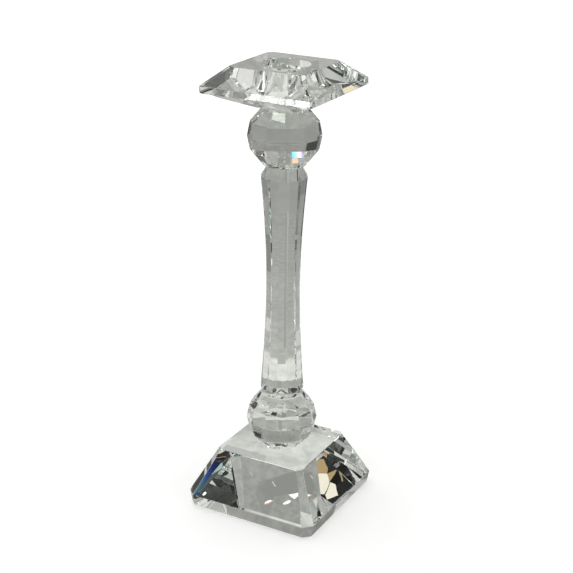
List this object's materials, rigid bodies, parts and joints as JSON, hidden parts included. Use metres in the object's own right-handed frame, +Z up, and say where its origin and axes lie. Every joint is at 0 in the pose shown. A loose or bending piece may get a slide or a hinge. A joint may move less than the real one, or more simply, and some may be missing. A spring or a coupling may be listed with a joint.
{
  "type": "glass candlestick",
  "caption": "Clear cut-glass candlestick: square bevelled base, faceted balls at both ends of a waisted column, and a square bevelled plate with a round socket for a taper candle.",
  "frame": {"origin": "middle of the underside of the base, on the table", "axes": "+Z up along the stem to the candle socket; X and Y square to the sides of the base and the plate"},
  "size_m": [0.068, 0.068, 0.2132],
  "materials": {
    "crystal": "clear optical glass, cut and polished to flat facets",
    "adhesive": "clear cured film"
  },
  "bodies": {
    "root": {"base_block": "crystal", "bond_base_to_ball": "adhesive", "lower_ball": "crystal", "bond_ball_to_column": "adhesive", "column": "crystal", "bond_column_to_ball": "adhesive", "upper_ball": "crystal", "bond_ball_to_plate": "adhesive", "candle_plate": "crystal"}
  },
  "joints": []
}
